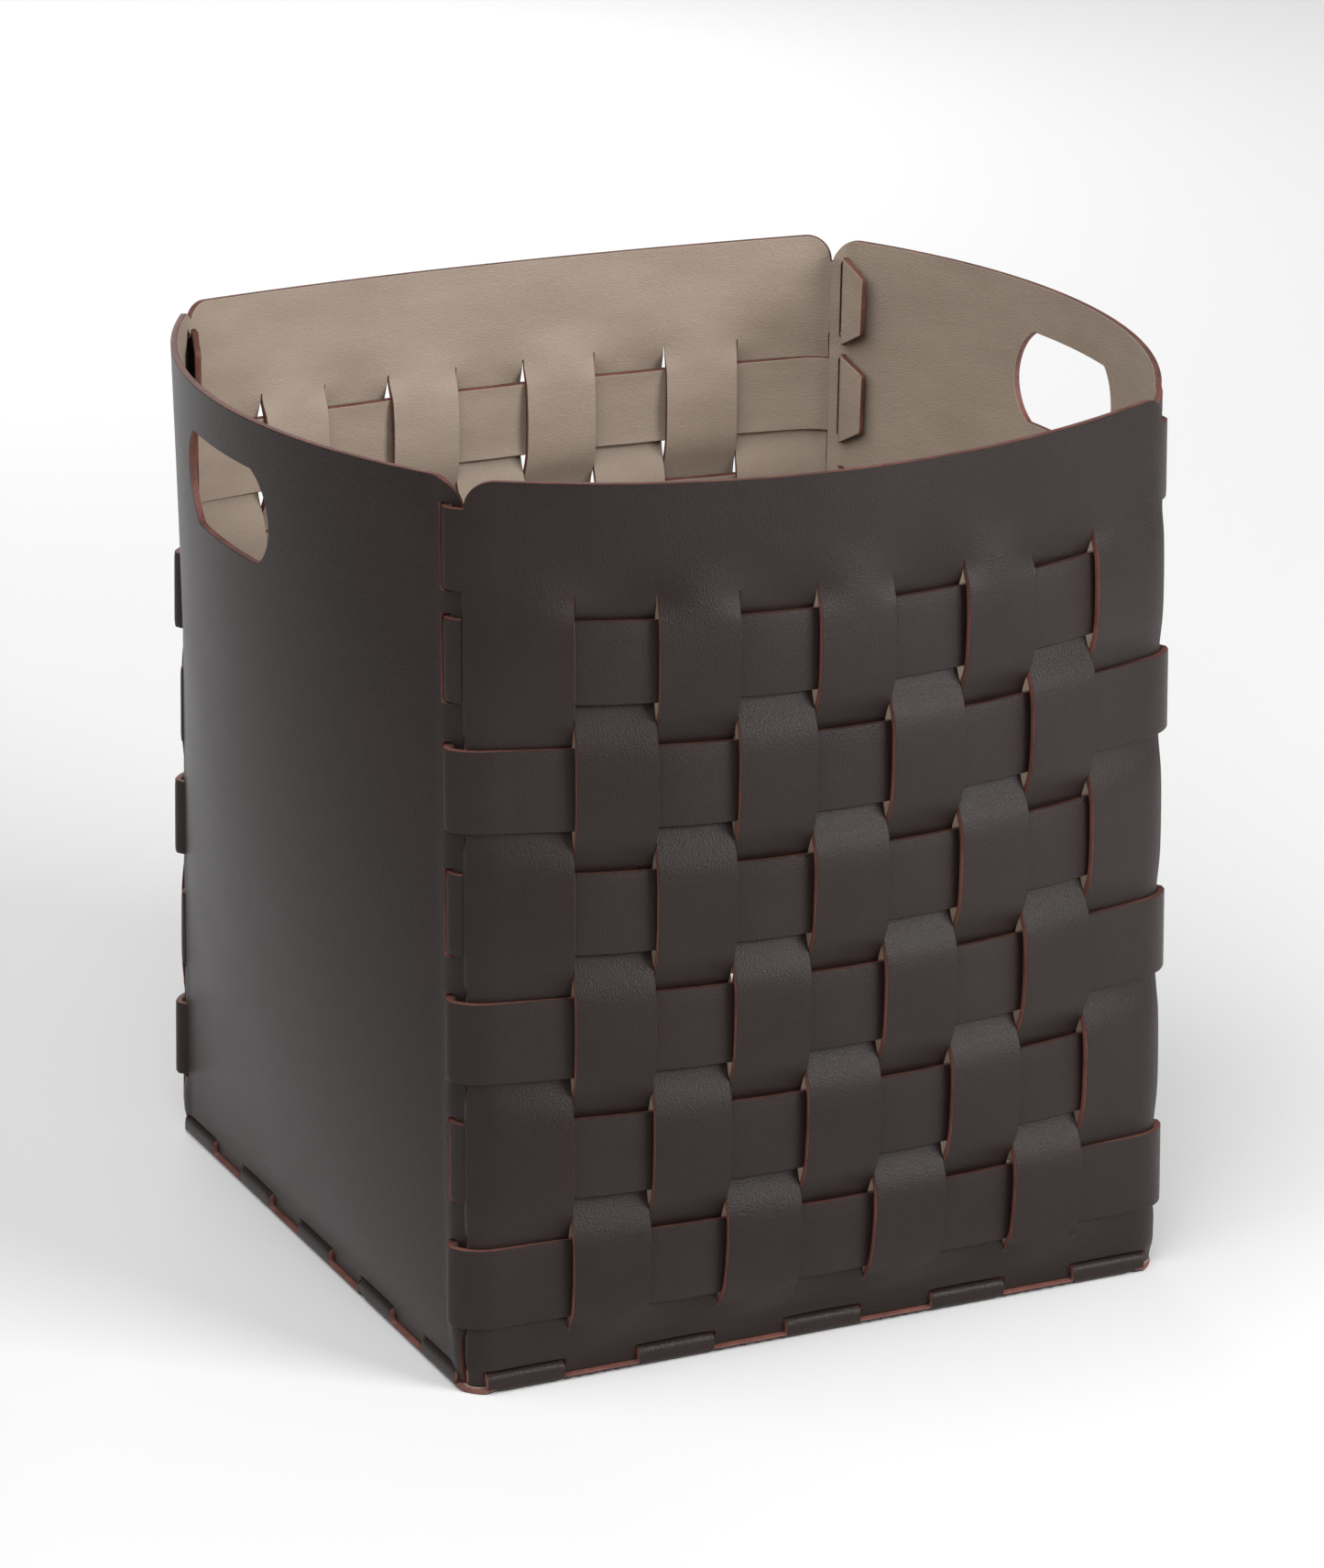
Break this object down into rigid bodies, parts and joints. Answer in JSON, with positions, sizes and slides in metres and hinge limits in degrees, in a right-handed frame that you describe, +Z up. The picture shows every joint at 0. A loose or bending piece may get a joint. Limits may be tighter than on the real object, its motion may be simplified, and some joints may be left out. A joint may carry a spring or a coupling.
{
  "type": "woven leather storage bin",
  "caption": "Open square storage bin of dark cut leather: two woven panels, two plain panels with handle holes, straps locked through slots, and a tabbed base.",
  "frame": {"origin": "middle of the base's underside, on the surface that the bin stands on", "axes": "+Z up; the woven panels face -Y (front) and +Y (back), the plain panels with the handle holes face -X (left) and +X (right)"},
  "size_m": [0.42, 0.3856, 0.4],
  "materials": {
    "panel_leather": "semi-matt fine-grained dark brown leather, taupe lining, red-brown cut edge",
    "strap_leather": "semi-matt fine-grained dark brown leather, taupe lining, red-brown cut edge",
    "base_leather": "semi-matt dark brown leather, taupe upper face, red-brown cut edge"
  },
  "bodies": {
    "root": {"base": "base_leather", "woven_panel_front": "panel_leather", "woven_panel_back": "panel_leather", "side_panel_left": "panel_leather", "side_panel_right": "panel_leather", "front_strap_1": "strap_leather", "front_strap_2": "strap_leather", "front_strap_3": "strap_leather", "front_strap_4": "strap_leather", "front_strap_5": "strap_leather", "front_strap_6": "strap_leather", "back_strap_1": "strap_leather", "back_strap_2": "strap_leather", "back_strap_3": "strap_leather", "back_strap_4": "strap_leather", "back_strap_5": "strap_leather", "back_strap_6": "strap_leather"}
  },
  "joints": []
}
